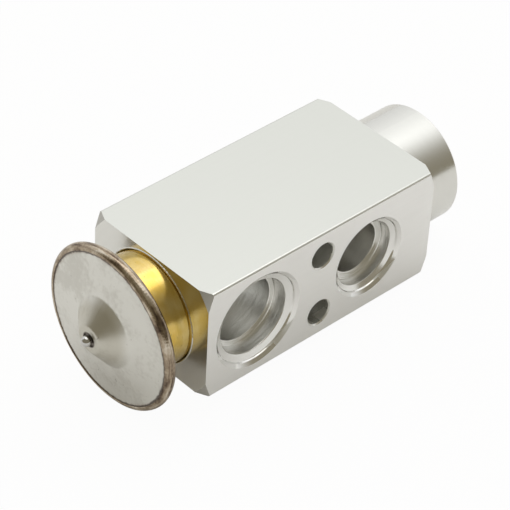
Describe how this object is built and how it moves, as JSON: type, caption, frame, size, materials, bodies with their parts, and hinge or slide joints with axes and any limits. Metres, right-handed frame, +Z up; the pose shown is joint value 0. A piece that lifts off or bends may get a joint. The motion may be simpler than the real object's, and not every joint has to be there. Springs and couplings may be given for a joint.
{
  "type": "thermostatic expansion valve",
  "caption": "Aluminium block expansion valve with a round power head, suction and liquid ports, fixing holes and an adjustable spring-loaded ball valve.",
  "frame": {"origin": "midway between the two fixing holes, on the front port face", "axes": "+X along the valve axis from the power head to the spigot, -Y out of the front port face, +Z up as the block lies"},
  "size_m": [0.1046, 0.0412, 0.0412],
  "materials": {
    "body_aluminium": "machined, satin",
    "cover_steel": "pressed stainless, dull",
    "weld_steel": "weld bead with heat tint",
    "collar_steel": "yellow passivated zinc plate",
    "ball_steel": "polished",
    "spring_steel": "bright drawn",
    "seal_rubber": "matt black",
    "pad_steel": "turned",
    "shaft_aluminium": "turned",
    "screw_brass": "turned"
  },
  "bodies": {
    "valve_body": {"valve_body": "body_aluminium", "head_collar": "collar_steel", "head_seal": "seal_rubber", "head_base": "cover_steel", "head_cover": "cover_steel", "charge_ball": "ball_steel", "rim_weld": "weld_steel", "diaphragm": "spring_steel", "rod_seal": "seal_rubber", "seal_retainer": "spring_steel", "orifice_insert": "pad_steel", "valve_spring": "spring_steel"},
    "valve_train": {"diaphragm_pad": "pad_steel", "sensing_shaft": "shaft_aluminium", "operating_rod": "pad_steel", "valve_ball": "ball_steel", "ball_carrier": "pad_steel", "damper_spring": "spring_steel"},
    "adjuster_ring": {"adjuster_seal": "seal_rubber"},
    "adjuster": {"adjusting_screw": "screw_brass"}
  },
  "joints": [
    {"name": "valve_stroke", "type": "slide", "parent": "valve_body", "child": "valve_train", "axis": [1, 0, 0], "range_m": [0, 0.0008], "stiffness_N_per_m": 8000, "springref_m": -0.001, "deforming": ["valve_spring", "diaphragm"]},
    {"name": "adjuster_advance", "type": "slide", "parent": "valve_body", "child": "adjuster_ring", "axis": [1, 0, 0], "range_m": [-0.001, 0.001], "deforming": ["valve_spring"]},
    {"name": "adjuster_turn", "type": "hinge", "parent": "adjuster_ring", "child": "adjuster", "pos_m": [0.0362, 0.0192, 0], "axis": [1, 0, 0], "range_deg": [-400, 400]}
  ],
  "couplings": [
    {"joint": "adjuster_turn", "follows": "adjuster_advance", "rad_per_m": 6283.2}
  ]
}
